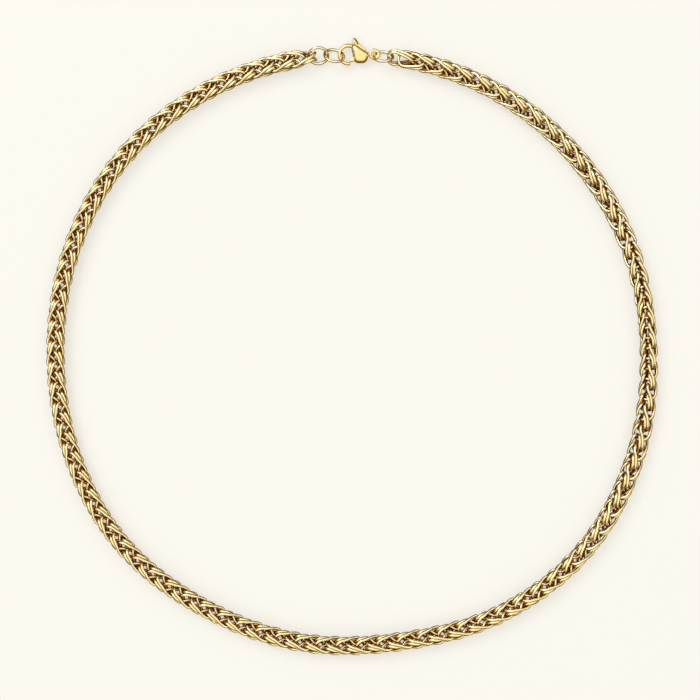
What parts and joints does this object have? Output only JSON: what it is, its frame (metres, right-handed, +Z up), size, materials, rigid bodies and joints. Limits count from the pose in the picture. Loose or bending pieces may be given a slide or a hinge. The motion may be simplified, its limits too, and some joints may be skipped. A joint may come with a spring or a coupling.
{
  "type": "wheat chain necklace with a lobster clasp",
  "caption": "Polished gold wheat chain necklace of woven wire links, lying as a closed loop, with round jump rings and a sprung lobster clasp.",
  "frame": {"origin": "middle of the necklace's bounding box, on the surface that it lies on", "axes": "+Z up from the surface, +Y from the middle of the loop to the clasp, +X to the clasp's tail"},
  "size_m": [0.1661, 0.1675, 0.0053],
  "materials": {
    "chain_gold": "polished",
    "clasp_gold": "polished"
  },
  "bodies": {
    "necklace": {"chain_left": "chain_gold", "chain_right": "chain_gold", "jump_ring_left": "chain_gold", "jump_ring_hook": "chain_gold", "jump_ring_right": "chain_gold", "clasp_body": "clasp_gold", "clasp_rivet": "clasp_gold"},
    "lever": {"clasp_lever": "clasp_gold"}
  },
  "joints": [
    {"name": "lever_hinge", "type": "hinge", "parent": "necklace", "child": "lever", "pos_m": [0.0024, 0.07945, 0.0017], "axis": [0, 0, -1], "range_deg": [0, 20], "stiffness_Nm_per_rad": 0.002}
  ]
}
